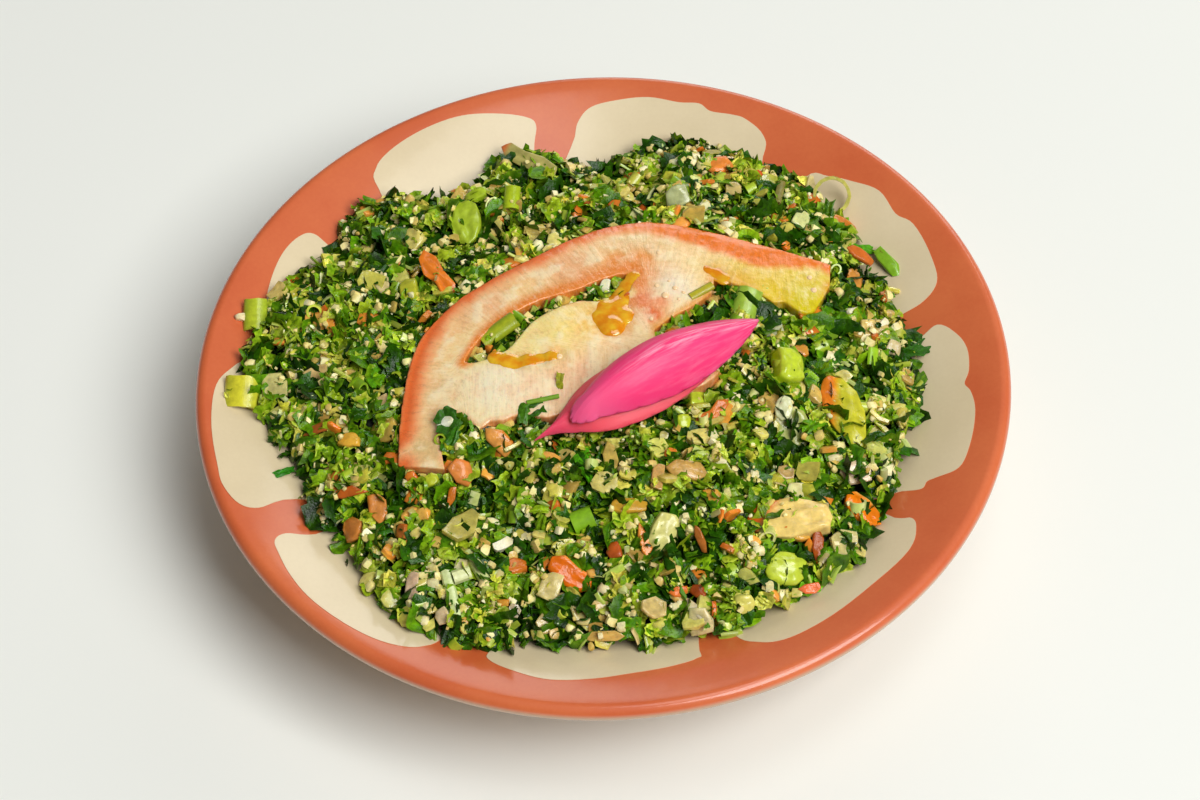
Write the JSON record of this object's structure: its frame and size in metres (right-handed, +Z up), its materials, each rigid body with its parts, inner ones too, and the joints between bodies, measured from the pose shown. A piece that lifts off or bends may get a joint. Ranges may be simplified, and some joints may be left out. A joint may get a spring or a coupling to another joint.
{
  "type": "tabbouleh salad on a dish",
  "caption": "Chopped parsley and bulgur salad heaped on a round glazed earthenware dish, with a half slice of tomato and pickled onion petals on top.",
  "frame": {"origin": "centre of the dish's foot ring, on the table", "axes": "+Z up out of the dish; +X to the eater's right, -Y towards the eater"},
  "size_m": [0.1692, 0.1692, 0.0492],
  "materials": {
    "dish": "clear glaze over terracotta with nine beige slip dabs",
    "salad": "finely chopped wet parsley with bulgur, onion and tomato",
    "tomato": "wet cut tomato flesh with a thin orange-red skin",
    "onion": "wet pickled onion, pink with fine lengthwise veins"
  },
  "bodies": {
    "root": {"dish": "dish", "salad_heap": "salad", "tomato_slice": "tomato", "onion_petal_outer": "onion", "onion_petal_inner": "onion"}
  },
  "joints": []
}
